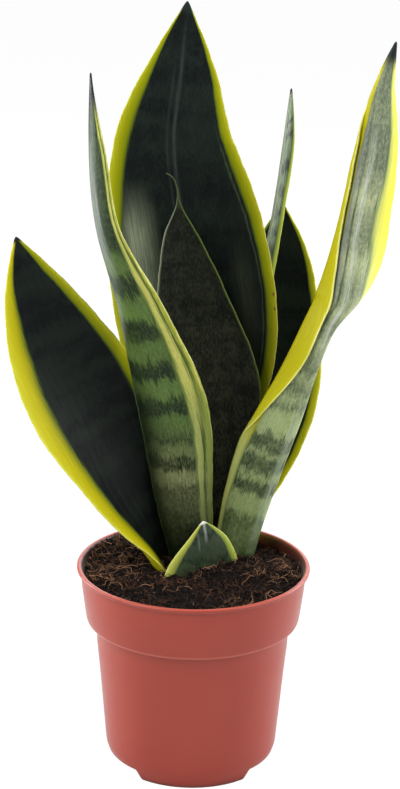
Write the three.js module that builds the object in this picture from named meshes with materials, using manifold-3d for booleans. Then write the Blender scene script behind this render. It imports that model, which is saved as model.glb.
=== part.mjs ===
// Potted snake plant: a plastic nursery pot, its soil, the buried stem and eight leaves.
// Millimetres, +Z up, front of the plant towards -Y. Sizes follow a 12 cm round nursery pot.
import * as THREE from "three";
import { mergeVertices } from "three/addons/utils/BufferGeometryUtils.js";
import Module from "manifold-3d";

const wasm = await Module();
wasm.setup();

// Driving dimensions of the pot
const lipRadius = 60;
const potHeight = 106.7;
const wall = 1.5;
const footHeight = 5.3;
const potSides = 48;
const lobeTurn = 2.5;
const archFloorTurn = 52;
const archTopTurn = 47;
const drainHoleRadius = 3.5;
const drainRingRadius = 29;

// Driving dimensions of what the pot holds
const soilLevel = 101;
const leafBase = 84;
const gap = 0.3;
const slotDepth = 2.2;
const blade = { edge: 0.9, ringsPerLeaf: 22, stripsAcross: 8 };

const degrees = Math.PI / 180;
const clamp = (value, low, high) => Math.min(high, Math.max(low, value));

// ---------- joining and cutting ----------

// Closed solid for cutting, from any closed geometry
function toSolid(geometry) {
  const plain = new THREE.BufferGeometry();
  plain.setAttribute("position", geometry.getAttribute("position").clone());
  if (geometry.index) plain.setIndex(geometry.index.clone());
  const joined = mergeVertices(plain, 1e-4);
  return new wasm.Manifold(new wasm.Mesh({
    numProp: 3,
    vertProperties: new Float32Array(joined.getAttribute("position").array),
    triVerts: new Uint32Array(joined.index.array),
  }));
}

// Geometry again, from a solid
function toGeometry(solid) {
  const mesh = solid.getMesh();
  const geometry = new THREE.BufferGeometry();
  geometry.setAttribute("position", new THREE.BufferAttribute(new Float32Array(mesh.vertProperties), 3));
  geometry.setIndex(new THREE.BufferAttribute(new Uint32Array(mesh.triVerts), 1));
  geometry.computeVertexNormals();
  return geometry;
}

// Indexed geometry from a list of points and a list of triangles
function meshFrom(points, triangles) {
  const geometry = new THREE.BufferGeometry();
  geometry.setAttribute("position", new THREE.BufferAttribute(new Float32Array(points.flat()), 3));
  geometry.setIndex(triangles.flat());
  geometry.computeVertexNormals();
  return geometry;
}

// Ring of revolution about the pot's axis; the profile closes on itself or starts and ends on the axis
function turned(profile, sides) {
  const points = profile.map(([radius, height]) => new THREE.Vector2(radius, height));
  const geometry = new THREE.LatheGeometry(points, sides);
  geometry.rotateX(Math.PI / 2);
  return geometry;
}

// ---------- pot ----------

// Half profile of the pot: up the outside, over the lip, down the inside and under the floor
const potProfile = [
  [0, footHeight], [41.3, footHeight], [40.6, 0], [42.1, 0], [43.5, footHeight], [44.4, 8], [44.75, 10],
  [46.45, 30], [48.15, 50], [49.5, 64], [50, 75.4], [50.6, 76.6], [52, 77.1], [54.2, 77.8], [55, 79.2],
  [55.6, 81.4], [57.3, 95], [57.9, 104.1], [59.4, 104.7], [lipRadius, 105.5], [lipRadius, 106.1],
  [59.3, potHeight], [58.3, potHeight], [57.3, 105.8], [56.9, 104.2], [56.1, 97], [54.1, 81.8],
  [53.1, 79.2], [50.4, 78.4], [49.2, 77.6], [48.6, 75.6], [48, 64], [46.65, 50],
  [44.95, 30], [43.2, 9.8], [41.8, footHeight + wall], [0, footHeight + wall],
];

// Height of an arch between the two foot lobes, at an angle in degrees from its middle
function archHeight(turn) {
  const share = clamp((archFloorTurn - Math.abs(turn)) / (archFloorTurn - archTopTurn), 0, 1);
  return (footHeight - 0.01) * share * share * (3 - 2 * share);
}

// Tool that opens one arch: a block that is bent round the pot, as high as the arch all along
function archTool(middle) {
  const turns = [];
  for (let turn = -archFloorTurn; turn < -archTopTurn; turn += 1) turns.push(turn);
  for (let turn = -archTopTurn; turn < archTopTurn; turn += archTopTurn / 6) turns.push(turn);
  for (let turn = archTopTurn; turn <= archFloorTurn; turn += 1) turns.push(turn);
  const points = [];
  const triangles = [];
  turns.forEach((turn, step) => {
    const across = Math.cos((middle + turn) * degrees);
    const along = Math.sin((middle + turn) * degrees);
    for (const [radius, height] of [[38, -1], [47, -1], [47, archHeight(turn)], [38, archHeight(turn)]]) {
      points.push([radius * across, radius * along, height]);
    }
    for (let corner = 0; step > 0 && corner < 4; corner += 1) {
      const here = 4 * step - 4;
      const next = (corner + 1) % 4;
      triangles.push([here + corner, here + 4 + next, here + next]);
      triangles.push([here + corner, here + 4 + corner, here + 4 + next]);
    }
  });
  const end = points.length - 4;
  triangles.push([0, 1, 2], [0, 2, 3], [end, end + 2, end + 1], [end, end + 3, end + 2]);
  return toSolid(meshFrom(points, triangles));
}

// Tool for one round drain hole in the floor
function drainTool(x, y) {
  const tool = new THREE.CylinderGeometry(drainHoleRadius, drainHoleRadius, 6, 16);
  tool.rotateX(Math.PI / 2);
  tool.translate(x, y, footHeight + wall / 2);
  return toSolid(tool);
}

function makePot() {
  let pot = toSolid(turned(potProfile, potSides));
  for (const turn of [0, 180]) {
    pot = pot.subtract(archTool(turn + lobeTurn));
  }
  pot = pot.subtract(drainTool(0, 0));
  for (let hole = 0; hole < 6; hole += 1) {
    const turn = (hole * 60 + lobeTurn) * degrees;
    pot = pot.subtract(drainTool(drainRingRadius * Math.cos(turn), drainRingRadius * Math.sin(turn)));
  }
  return pot;
}

// ---------- leaves ----------

// Each row of a leaf: x, y, z of the mid line, width along the surface, the heading of the upper
// face (0 looks to the front, positive turns it to the right), the cupping angle at the edge in
// degrees, and for a folded leaf the share of the right half that is folded back under.
const leaves = {
  leaf_front_small: {
    rows: [
      [5.5, 5, leafBase, 48, -146, 8],
      [5.5, 5, 100, 47, -146, 12],
      [6, 4, 116, 28, -148, 16],
      [4.5, 3, 129, 1, -150, 16],
    ],
    thickness: [[0, 4.5], [0.5, 3.2], [1, 1]],
    rings: 9,
    colour: 0x3f5a3c,
  },
  leaf_left: {
    rows: [
      [-12.5, 15.5, leafBase, 23, 104, 54],
      [-23.5, 13.5, 115, 37, 68, 48],
      [-37, 9, 145, 48, 43, 36],
      [-52.3, 7.5, 183, 65, 32, 26],
      [-70.3, 4, 221, 54, 22, 22],
      [-83, -3, 258, 26.5, 14, 20],
      [-89, -8, 280, 1, 10, 15],
    ],
    thickness: [[0, 7], [0.4, 4], [1, 1]],
    colour: 0x1c2a1e,
  },
  leaf_centre: {
    rows: [
      [3, 15.5, leafBase, 18, 195, 30],
      [-5, 10, 135, 31, 182, 34],
      [-11.7, -0.5, 185, 38.5, 170, 34],
      [-28.5, -6, 235, 37, 138, 34],
      [-48.2, -9, 286, 33, 112, 38],
      [-52.3, -12, 330, 23, 106, 40],
      [-52.2, -14, 361.5, 1, 95, 35],
    ],
    thickness: [[0, 7], [0.4, 3.6], [1, 1]],
    colour: 0x4f6b45,
  },
  leaf_tall: {
    rows: [
      [3, 36.5, leafBase, 28, 0, 36],
      [2.5, 42, 146, 48, 2, 33],
      [1, 46.5, 212.5, 83, 2, 24],
      [-7, 50, 268.5, 82, 2, 18],
      [-13.5, 53, 318.5, 60.5, 0, 15],
      [-10.5, 57, 349.5, 38.5, 0, 13],
      [-7.7, 62, 386, 1, 0, 12],
    ],
    thickness: [[0, 7], [0.4, 3.6], [1, 1]],
    colour: 0x1f2d22,
  },
  leaf_inner: {
    rows: [
      [3, 28.5, leafBase, 13, 8, 40],
      [4, 32.5, 137, 38, 6, 28],
      [4, 35, 188, 60, 2, 22],
      [-3, 37, 238, 38, -3, 20],
      [-9.5, 38, 274, 15.5, -5, 20],
      [-10.7, 37.5, 288, 2.5, -5, 10],
      [-11.6, 36.5, 296.5, 1, -5, 0],
      [-14, 36, 301.5, 1, -5, 0],
      [-17.3, 35.5, 303.5, 1, -5, 0],
    ],
    thickness: [[0, 5], [0.4, 3.2], [0.87, 1.2], [1, 0.9]],
    rings: 26,
    colour: 0x2b3327,
  },
  leaf_right: {
    rows: [
      [25.5, 28, leafBase, 31, 232, 57, 0],
      [32.5, 26, 116, 42, 230, 55, 0],
      [42.5, 21.5, 150.5, 49, 227, 55, 0],
      [52, 17, 181.5, 50, 226, 57, 0.22],
      [60.2, 13.5, 212, 48, 221, 64, 0.46],
      [66.6, 10.5, 231, 47.5, 207, 67, 0.5],
      [73, 8, 243, 54, 196, 60, 0.46],
      [76, 7, 258, 48.5, 184, 57, 0.42],
      [79, 4.5, 286.5, 37, 167, 54, 0.34],
      [83, 2.5, 312.5, 32, 170, 51, 0.32],
      [86.3, 1.5, 338, 21.5, 172, 50, 0.2],
      [87.2, 1, 349.5, 15, 174, 50, 0],
      [92.5, 0, 376.5, 1, 176, 30, 0],
    ],
    thickness: [[0, 4.5], [0.4, 3.2], [1, 1]],
    keeled: true,
    rings: 30,
    colour: 0x6f8468,
  },
  leaf_narrow: {
    rows: [
      [18, 41.5, leafBase, 9, 0, 40],
      [24.5, 51.5, 156, 20, 30, 46],
      [29.5, 57, 221.5, 17, 50, 45],
      [39.2, 62, 277.5, 13, 60, 45],
      [44.3, 67, 318, 11.5, 60, 40],
      [46.2, 70, 341.5, 1, 60, 30],
    ],
    thickness: [[0, 4], [0.4, 2.6], [1, 1]],
    strips: 6,
    colour: 0x5f7a55,
  },
  leaf_back_right: {
    rows: [
      [7, 47, leafBase, 12, -15, 30],
      [13.5, 52, 107, 17, -15, 30],
      [27.5, 57.5, 128, 31.5, -15, 34],
      [40, 67, 173, 53, -15, 28],
      [42, 75, 222.5, 48.5, -12, 22],
      [43.5, 81, 257, 27, -10, 18],
      [44, 84, 278, 1, -10, 12],
    ],
    thickness: [[0, 4], [0.4, 3.4], [1, 1]],
    colour: 0x1d2b20,
  },
};

// Lengths along the right leaf's section, in millimetres
const keelRounding = 4;
const foldLength = 3.2;
const foldTurn = 180 * degrees;

// Value on a smooth curve through the rows, at share t of its length
function alongRows(rows, t) {
  const spans = [];
  for (let i = 0; i + 1 < rows.length; i += 1) {
    const a = rows[i];
    const b = rows[i + 1];
    spans.push(Math.hypot(b[0] - a[0], b[1] - a[1], b[2] - a[2]));
  }
  const last = spans.length - 1;
  const slope = (i, k) => (rows[i + 1][k] - rows[i][k]) / spans[i];
  const inner = (i, k) => {
    const mixed = slope(i - 1, k) * spans[i] + slope(i, k) * spans[i - 1];
    return mixed / (spans[i - 1] + spans[i]);
  };
  const tangent = (i, k) => {
    if (i === 0) return 1.5 * slope(0, k) - 0.5 * inner(1, k);
    if (i === last + 1) return 1.5 * slope(last, k) - 0.5 * inner(last, k);
    return inner(i, k);
  };
  let rest = clamp(t, 0, 1) * spans.reduce((sum, span) => sum + span, 0);
  let i = 0;
  while (i < last && rest > spans[i]) {
    rest -= spans[i];
    i += 1;
  }
  const span = spans[i];
  const w = rest / span;
  const w2 = w * w;
  const w3 = w2 * w;
  return rows[i].map((value, k) => (
    (2 * w3 - 3 * w2 + 1) * value + (w3 - 2 * w2 + w) * span * tangent(i, k)
    + (3 * w2 - 2 * w3) * rows[i + 1][k] + (w3 - w2) * span * tangent(i + 1, k)
  ));
}

// Value on straight lines through [place, value] pairs
function alongPairs(pairs, place) {
  for (let i = 1; i < pairs.length; i += 1) {
    const [from, low] = pairs[i - 1];
    const [to, high] = pairs[i];
    if (place <= to) return low + ((high - low) * (place - from)) / (to - from);
  }
  return pairs[pairs.length - 1][1];
}

// How far the blade has turned at share q of one half; side is -1 for the left and +1 for the right
function bladeTurn(section, side, q) {
  let turn = section.cup * q;
  if (section.keeled) {
    const keel = Math.min(0.5, keelRounding / section.half);
    turn = section.cup * (0.2 * q + 0.8 * Math.min(1, q / keel));
    if (side > 0 && section.hem > 0) {
      turn -= foldTurn * clamp((q - 1 + section.hem) * (section.half / foldLength), 0, 1);
    }
  }
  return turn;
}

// Place and direction across the blade at u, which runs from -1 to +1, for a half width of 1
function acrossBlade(section, u) {
  const steps = 60;
  const side = u < 0 ? -1 : 1;
  let along = 0;
  let up = 0;
  for (let step = 0; step < steps; step += 1) {
    const turn = bladeTurn(section, side, (Math.abs(u) * (step + 0.5)) / steps);
    along += (Math.cos(turn) * Math.abs(u)) / steps;
    up += (Math.sin(turn) * Math.abs(u)) / steps;
  }
  return { along: side * along, up, turn: side * bladeTurn(section, side, Math.abs(u)) };
}

// Places across the blade where the mesh has its lines
function linesAcross(leaf, section) {
  if (!leaf.keeled) {
    const strips = leaf.strips ?? blade.stripsAcross;
    return Array.from({ length: strips + 1 }, (unused, i) => (2 * i) / strips - 1);
  }
  const keel = clamp(keelRounding / section.half, 0.1, 0.3);
  const start = Math.min(1 - Math.max(0, section.hem), 0.84);
  const end = Math.min(start + foldLength / section.half, 0.95);
  const fold = [0.25, 0.5, 0.75].map((share) => start + (end - start) * share);
  return [
    -1, -0.75, -0.5, -keel - 0.08, -keel / 2, 0, keel / 2, keel + 0.08,
    (keel + 0.08 + start) / 2, start, ...fold, end, (end + 1) / 2, 1,
  ];
}

// Blade of one leaf; spare makes it larger all round, for the slot it stands in
function leafGeometry(leaf, spare) {
  const levels = [];
  const wanted = leaf.rings ?? blade.ringsPerLeaf;
  if (spare > 0) levels.push({ t: 0, drop: slotDepth });
  for (let ring = 0; ring <= wanted; ring += 1) {
    const share = ring / wanted;
    levels.push({ t: share * (1.35 - 0.35 * share), drop: 0 });
  }
  const rings = levels.length - 1;
  const upper = [];
  const under = [];
  let count = 0;
  for (const { t, drop } of levels) {
    const row = alongRows(leaf.rows, t);
    const centre = new THREE.Vector3(row[0], row[1], row[2]);
    const before = new THREE.Vector3(...alongRows(leaf.rows, t - 0.001).slice(0, 3));
    const after = new THREE.Vector3(...alongRows(leaf.rows, t + 0.001).slice(0, 3));
    const tangent = after.sub(before).normalize();
    const face = row[4] * degrees;
    const normal = new THREE.Vector3(Math.sin(face), -Math.cos(face), 0);
    normal.addScaledVector(tangent, -normal.dot(tangent)).normalize();
    const across = new THREE.Vector3().crossVectors(tangent, normal);
    centre.addScaledVector(tangent, -drop);
    const half = Math.max(row[3], 1) / 2;
    const section = { half, cup: row[5] * degrees, hem: row[6] ?? 0, keeled: leaf.keeled };
    const middle = alongPairs(leaf.thickness, t);
    const lines = linesAcross(leaf, section);
    count = lines.length;
    for (const u of lines) {
      const place = acrossBlade(section, u);
      const edge = Math.min(blade.edge, middle);
      const thick = Math.min(edge + (middle - edge) * (1 - u * u), Math.max(0.8, 2 * half)) + 2 * spare;
      const stretch = half + spare;
      const point = centre.clone().addScaledVector(across, place.along * stretch);
      point.addScaledVector(normal, place.up * stretch);
      const out = normal.clone().multiplyScalar(Math.cos(place.turn));
      out.addScaledVector(across, -Math.sin(place.turn));
      upper.push(point.clone().addScaledVector(out, thick / 2).toArray());
      under.push(point.clone().addScaledVector(out, -thick / 2).toArray());
    }
  }
  const other = upper.length;
  const triangles = [];
  for (let ring = 0; ring < rings; ring += 1) {
    for (let line = 0; line + 1 < count; line += 1) {
      const a = ring * count + line;
      const b = a + 1;
      const c = b + count;
      const d = a + count;
      triangles.push([a, b, c], [a, c, d]);
      triangles.push([other + a, other + c, other + b], [other + a, other + d, other + c]);
    }
    const left = ring * count;
    const right = left + count - 1;
    triangles.push([left, left + count, other + left + count], [left, other + left + count, other + left]);
    triangles.push([right, other + right + count, right + count]);
    triangles.push([right, other + right, other + right + count]);
  }
  for (let line = 0; line + 1 < count; line += 1) {
    const a = line;
    const c = rings * count + line;
    triangles.push([a, other + a + 1, a + 1], [a, other + a, other + a + 1]);
    triangles.push([c, c + 1, other + c + 1], [c, other + c + 1, other + c]);
  }
  return meshFrom([...upper, ...under], triangles);
}

// ---------- buried stem and roots ----------

// Round bar along a smooth path; spare makes it larger all round
function bar(path, radius, sides, pieces, spare) {
  const curve = new THREE.CatmullRomCurve3(path.map((point) => new THREE.Vector3(...point)));
  const ring = new THREE.Shape();
  for (let side = 0; side < sides; side += 1) {
    const turn = (side * 360 * degrees) / sides;
    const x = (radius + spare) * Math.cos(turn);
    const y = (radius + spare) * Math.sin(turn);
    if (side === 0) ring.moveTo(x, y);
    else ring.lineTo(x, y);
  }
  ring.closePath();
  return toSolid(new THREE.ExtrudeGeometry(ring, { steps: pieces, extrudePath: curve, bevelEnabled: false }));
}

const stemRadius = 8;
const rootRadius = 1.7;
const stemHeight = leafBase - 1.9 - stemRadius;
const stemPath = [[-19, 13, stemHeight], [-4, 16, stemHeight], [4, 28, stemHeight], [9, 42, stemHeight]];
const branchPath = [[4, 24, stemHeight], [17, 25, stemHeight], [30, 30, stemHeight]];
const sproutPath = [[0, 20, stemHeight], [6, 10, stemHeight], [9, 3, stemHeight]];
const rootPaths = [
  [[-14, 14, 72], [-24, 6, 58], [-31, -6, 38], [-27, -20, 16]],
  [[-2, 16, 70], [-6, 4, 52], [2, -14, 34], [10, -30, 18]],
  [[4, 28, 70], [2, 34, 50], [-10, 30, 32], [-18, 34, 13]],
  [[20, 26, 70], [32, 16, 54], [34, -2, 36], [26, -16, 20]],
  [[9, 40, 72], [18, 40, 54], [26, 30, 34], [22, 22, 14]],
];

// All of the buried stem; its pocket in the soil is the same shape made larger
function makeStem(spare) {
  let stem = bar(stemPath, stemRadius, 12, 9, spare);
  stem = stem.add(bar(branchPath, stemRadius, 12, 5, spare));
  stem = stem.add(bar(sproutPath, stemRadius - 0.5, 12, 4, spare));
  for (const path of rootPaths) {
    stem = stem.add(bar(path, rootRadius, 6, 7, spare));
  }
  return stem;
}

// ---------- soil ----------

// Low heaps and dips on the soil: x, y, height, spread
const heaps = [
  [-40, 25, 5.4, 11], [-46, -10, 2.4, 12], [14, 8, 1, 15], [47, -4, 3, 11],
  [-30, -24, 0.8, 14], [6, -40, 0.6, 14], [34, 36, -1.4, 14], [-8, -12, -0.8, 12],
];

function soilTop(x, y) {
  let height = soilLevel;
  for (const [heapX, heapY, rise, spread] of heaps) {
    height += rise * Math.exp(-((x - heapX) ** 2 + (y - heapY) ** 2) / (2 * spread * spread));
  }
  const broad = Math.sin(x / 3.1 + y / 7.3) * Math.cos(y / 3.7 - x / 9.1);
  const fine = 0.6 * Math.sin(x / 1.9 - y / 2.3);
  return height + 0.55 * (broad + fine);
}

// Radius of the soil's side at a height: the inside of the pot less a gap that is at least 0.4 wide
const soilSide = [
  [footHeight + wall + gap, 41.3], [9.8, 42.75], [30, 44.5], [50, 46.2], [64, 47.55], [76, 48.15],
  [78, 48.75], [79, 50.2], [79.3, 52], [80.2, 52.9], [82, 53.65], [97, 55.6], [104.5, 56.4],
];

function makeSoil() {
  const sides = potSides;
  const sideRings = soilSide.filter(([height]) => height < 92);
  const topShares = [1, 0.93, 0.84, 0.74, 0.63, 0.52, 0.41, 0.3, 0.19, 0.09];
  const points = [[0, 0, soilSide[0][0]]];
  for (const [height, radius] of sideRings) {
    for (let side = 0; side < sides; side += 1) {
      const turn = ((side * 360) / sides) * degrees;
      points.push([radius * Math.cos(turn), radius * Math.sin(turn), height]);
    }
  }
  for (const share of topShares) {
    for (let side = 0; side < sides; side += 1) {
      const turn = ((side * 360) / sides) * degrees;
      const flat = alongPairs(soilSide, soilLevel) * share;
      const height = soilTop(flat * Math.cos(turn), flat * Math.sin(turn));
      const radius = share === 1 ? alongPairs(soilSide, Math.min(height, 104.5)) : flat;
      points.push([radius * Math.cos(turn), radius * Math.sin(turn), height]);
    }
  }
  points.push([0, 0, soilTop(0, 0)]);
  const triangles = [];
  const loops = sideRings.length + topShares.length;
  const at = (loop, side) => 1 + loop * sides + (side % sides);
  for (let side = 0; side < sides; side += 1) {
    triangles.push([0, at(0, side + 1), at(0, side)]);
    for (let loop = 0; loop + 1 < loops; loop += 1) {
      triangles.push([at(loop, side), at(loop, side + 1), at(loop + 1, side + 1)]);
      triangles.push([at(loop, side), at(loop + 1, side + 1), at(loop + 1, side)]);
    }
    triangles.push([at(loops - 1, side), at(loops - 1, side + 1), points.length - 1]);
  }
  let soil = toSolid(meshFrom(points, triangles));
  for (const leaf of Object.values(leaves)) {
    soil = soil.subtract(toSolid(leafGeometry(leaf, gap)));
  }
  return soil.subtract(makeStem(gap));
}

// ---------- the part ----------

const group = new THREE.Group();
group.name = "potted_snake_plant";

function addPiece(name, geometry, colour, roughness) {
  const material = new THREE.MeshStandardMaterial({ color: colour, roughness, metalness: 0 });
  const mesh = new THREE.Mesh(geometry, material);
  mesh.name = name;
  group.add(mesh);
}

addPiece("pot", toGeometry(makePot()), 0xa44c3c, 0.45);
addPiece("soil", toGeometry(makeSoil()), 0x2b1f18, 1);
addPiece("rhizome", toGeometry(makeStem(0)), 0xb98a4a, 0.8);
for (const [name, leaf] of Object.entries(leaves)) {
  addPiece(name, leafGeometry(leaf, 0), leaf.colour, 0.4);
}

// The origin is the middle of the bounding box's bottom face
const box = new THREE.Box3().setFromObject(group);
const middle = box.getCenter(new THREE.Vector3());
for (const mesh of group.children) {
  mesh.geometry.translate(-middle.x, -middle.y, -box.min.z);
}

export default group;
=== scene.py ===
import math

import bpy
import numpy as np
from mathutils import Matrix, Vector, noise


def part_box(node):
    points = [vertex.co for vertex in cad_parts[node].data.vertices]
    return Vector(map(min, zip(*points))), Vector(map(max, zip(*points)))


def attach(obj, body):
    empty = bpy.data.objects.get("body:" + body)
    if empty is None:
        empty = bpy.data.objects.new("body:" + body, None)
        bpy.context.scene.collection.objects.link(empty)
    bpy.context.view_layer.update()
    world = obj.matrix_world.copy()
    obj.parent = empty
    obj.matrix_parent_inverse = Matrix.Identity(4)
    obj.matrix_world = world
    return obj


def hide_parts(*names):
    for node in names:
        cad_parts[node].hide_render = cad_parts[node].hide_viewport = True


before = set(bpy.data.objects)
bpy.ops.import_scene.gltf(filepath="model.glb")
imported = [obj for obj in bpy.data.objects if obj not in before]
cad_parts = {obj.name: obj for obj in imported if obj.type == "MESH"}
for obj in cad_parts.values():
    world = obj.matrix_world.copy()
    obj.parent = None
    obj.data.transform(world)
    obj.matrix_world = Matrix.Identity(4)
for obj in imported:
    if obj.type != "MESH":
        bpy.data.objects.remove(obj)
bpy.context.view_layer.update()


# ---------- camera, floor and light ----------
# The plant stands on a plain white floor and is seen from the front, about 18 degrees from above.
# Two soft panels in front, two narrow ones at the sides, one above, one behind and a dim even
# surround light it without hard shade.

MM = 0.001
scene = bpy.context.scene
pot_low, pot_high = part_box("pot")
pot_x = (pot_low.x + pot_high.x) / 2
pot_y = (pot_low.y + pot_high.y) / 2

camera_place = (pot_x + 0.0019, pot_y - 1.0, 0.5223)
camera_pitch = math.radians(17.953)
camera_roll = math.radians(0.964)
photo_height_px = 789
focal_px = 2093.66
sensor_mm = 36.0


def shown(name, data):
    """A new object in the scene."""
    thing = bpy.data.objects.new(name, data)
    scene.collection.objects.link(thing)
    return thing


camera_data = bpy.data.cameras.new("photo_camera")
camera_data.sensor_width = sensor_mm
camera_data.lens = focal_px / photo_height_px * sensor_mm
camera_data.clip_start = 0.01
camera = shown("photo_camera", camera_data)
camera_turn = Matrix.Rotation(math.pi / 2 - camera_pitch, 4, "X") @ Matrix.Rotation(camera_roll, 4, "Z")
camera.matrix_world = Matrix.Translation(camera_place) @ camera_turn
scene.camera = camera
scene.view_settings.view_transform = "Standard"

# Each light panel: its place, the point it faces, its width and height, and its watts
for name, place, aim, size, power in (
    ("panel_left", (-1.15, -0.75, 0.95), (0, 0, 0.2), (0.9, 1.3), 21),
    ("panel_right", (1.25, -0.65, 0.8), (0, 0, 0.2), (0.9, 1.2), 15),
    ("rim_left", (-0.95, 0.5, 0.35), (0, -0.02, 0.08), (0.35, 0.9), 12),
    ("rim_right", (0.95, 0.5, 0.35), (0, -0.02, 0.08), (0.35, 0.9), 11),
    ("panel_top", (0, 0.1, 1.6), (0, 0, 0.1), (1.2, 1.2), 9),
    ("panel_back", (0.3, 1.4, 0.8), (0, 0, 0.2), (1.4, 1.0), 10),
):
    light = bpy.data.lights.new(name, "AREA")
    light.shape = "RECTANGLE"
    light.size, light.size_y = size
    light.energy = power
    panel = shown(name, light)
    panel.location = place
    panel.rotation_euler = (Vector(aim) - Vector(place)).to_track_quat("-Z", "Y").to_euler()


def tint(red, green, blue):
    """A colour as it shows on a screen, from 0 to 255, as the light values that shaders use."""
    light = []
    for part in (red, green, blue):
        share = part / 255
        light.append(share / 12.92 if share <= 0.04045 else ((share + 0.055) / 1.055) ** 2.4)
    return (*light, 1.0)


class Wiring:
    """Puts nodes in one tree and wires them. A colour may be given as it shows, from 0 to 255."""

    def __init__(self, tree):
        self.tree = tree

    def put(self, kind, feeds=None, **settings):
        """A new node; each feed is a result to link to that input, or a plain value for it."""
        node = self.tree.nodes.new(kind)
        for name, value in settings.items():
            setattr(node, name, value)
        for name, value in (feeds or {}).items():
            socket = node.inputs[name]
            if isinstance(value, bpy.types.NodeSocket):
                self.tree.links.new(value, socket)
            elif value is not None:
                as_seen = socket.type == "RGBA" and len(value) == 3
                socket.default_value = tint(*value) if as_seen else value
        return node

    def get(self, kind, feeds=None, out=0, **settings):
        """One result of a new node."""
        return self.put(kind, feeds, **settings).outputs[out]

    def maths(self, operation, *values, clamp=False):
        return self.get("ShaderNodeMath", dict(enumerate(values)), operation=operation, use_clamp=clamp)

    def times(self, first, second):
        return self.maths("MULTIPLY", first, second)

    def apart(self, first, second):
        return self.maths("ABSOLUTE", self.maths("SUBTRACT", first, second))

    def shaken(self, value, wave, amount, clamp=False):
        """The value with a wave of 0 to 1 laid over it, half of it below and half above."""
        return self.maths("MULTIPLY_ADD", self.maths("SUBTRACT", wave, 0.5), amount, value, clamp=clamp)

    def step(self, value, low, high, at_low=0, at_high=1):
        feeds = dict(enumerate((value, low, high, at_low, at_high)))
        return self.get("ShaderNodeMapRange", feeds, interpolation_type="SMOOTHSTEP")

    def between(self, value, low, high, soft):
        """1 between low and high, with a soft step at each end."""
        return self.times(self.step(value, low, low + soft), self.step(value, high, high - soft))

    def mix(self, share, first, second):
        feeds = {0: share, 6: first, 7: second}
        return self.get("ShaderNodeMix", feeds, 2, data_type="RGBA", clamp_factor=True)

    def ramp(self, value, stops):
        """A colour or a grey for each value: each stop is a place and a colour or a share of white."""
        node = self.put("ShaderNodeValToRGB", {0: value})
        elements = node.color_ramp.elements
        while len(elements) < len(stops):
            elements.new(0.5)
        for element, (place, *shade) in zip(elements, stops):
            element.position = place
            element.color = tint(*shade) if len(shade) == 3 else (*shade * 3, 1)
        return node.outputs[0]

    def cloud(self, place, scale, detail, rough):
        feeds = {"Vector": place, "Scale": scale, "Detail": detail, "Roughness": rough}
        return self.get("ShaderNodeTexNoise", feeds)

    def vectors(self, operation, first, second=None):
        """The result of vector maths, which is a number for LENGTH and DISTANCE."""
        out = 1 if operation in ("LENGTH", "DISTANCE") else 0
        return self.get("ShaderNodeVectorMath", {0: first, 1: second}, out, operation=operation)

    def parts(self, vector):
        return self.put("ShaderNodeSeparateXYZ", {0: vector}).outputs

    def vector(self, *parts):
        return self.get("ShaderNodeCombineXYZ", dict(enumerate(parts)))

    def bump(self, height, depth, strength=1):
        return self.get("ShaderNodeBump", {"Height": height, "Distance": depth, "Strength": strength})

    def effect(self, group, **values):
        return self.get("ShaderNodeGroup", values, node_tree=group)

    def finish(self, colour, roughness, normal, specular, **sheen):
        surface = self.get("ShaderNodeBsdfPrincipled", {
            "Base Color": colour, "Roughness": roughness, "Normal": normal, "Specular IOR Level": specular,
            **{name.replace("_", " "): value for name, value in sheen.items()},
        })
        self.put("ShaderNodeOutputMaterial", {"Surface": surface})


def new_material(name):
    """An empty material and the wiring that fills it."""
    material = bpy.data.materials.new(name)
    material.use_nodes = True
    material.node_tree.nodes.clear()
    return material, Wiring(material.node_tree)


surround = bpy.data.worlds.new("white_surround")
surround.use_nodes = True
surround.node_tree.nodes.clear()
wire = Wiring(surround.node_tree)
sky_seen = wire.get("ShaderNodeBackground", {"Color": (1, 1, 1, 1), "Strength": 1})
sky_light = wire.get("ShaderNodeBackground", {"Color": (0.93, 0.96, 1, 1), "Strength": 0.36})
sky_rays = wire.get("ShaderNodeLightPath", out="Is Camera Ray")
sky = wire.get("ShaderNodeMixShader", {0: sky_rays, 1: sky_light, 2: sky_seen})
wire.put("ShaderNodeOutputWorld", {"Surface": sky})
scene.world = surround

floor_paint, wire = new_material("white_floor")
floor_matt = wire.get("ShaderNodeBsdfDiffuse", {"Color": (0.5, 0.5, 0.5, 1)})
floor_glow = wire.get("ShaderNodeEmission", {"Strength": 1.12})
floor_seen = wire.times(wire.get("ShaderNodeLightPath", out="Is Camera Ray"), 0.85)
floor_mix = wire.get("ShaderNodeMixShader", {0: floor_seen, 1: floor_matt, 2: floor_glow})
wire.put("ShaderNodeOutputMaterial", {"Surface": floor_mix})
floor_mesh = bpy.data.meshes.new("floor")
floor_mesh.from_pydata([(-9, -9, 0), (9, -9, 0), (9, 9, 0), (-9, 9, 0)], [], [(0, 1, 2, 3)])
floor_mesh.materials.append(floor_paint)
floor = shown("floor", floor_mesh)


# ---------- nursery pot ----------
# One thin-walled moulding of terracotta coloured polypropylene, with a rolled lip, a deep collar
# and a skirt with an arch at each side that leaves two broad foot lobes. It has seven drain holes.

def piece_from(name, points, faces, material, sharp_degrees=40):
    """A smooth shaded object from points in millimetres from the pot's axis, with its sharp edges."""
    mesh = bpy.data.meshes.new(name)
    mesh.from_pydata([(pot_x + x * MM, pot_y + y * MM, z * MM) for x, y, z in points], [], faces)
    mesh.validate()
    mesh.shade_smooth()
    mesh.set_sharp_from_angle(angle=math.radians(sharp_degrees))
    mesh.materials.append(material)
    return shown(name, mesh)


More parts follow.
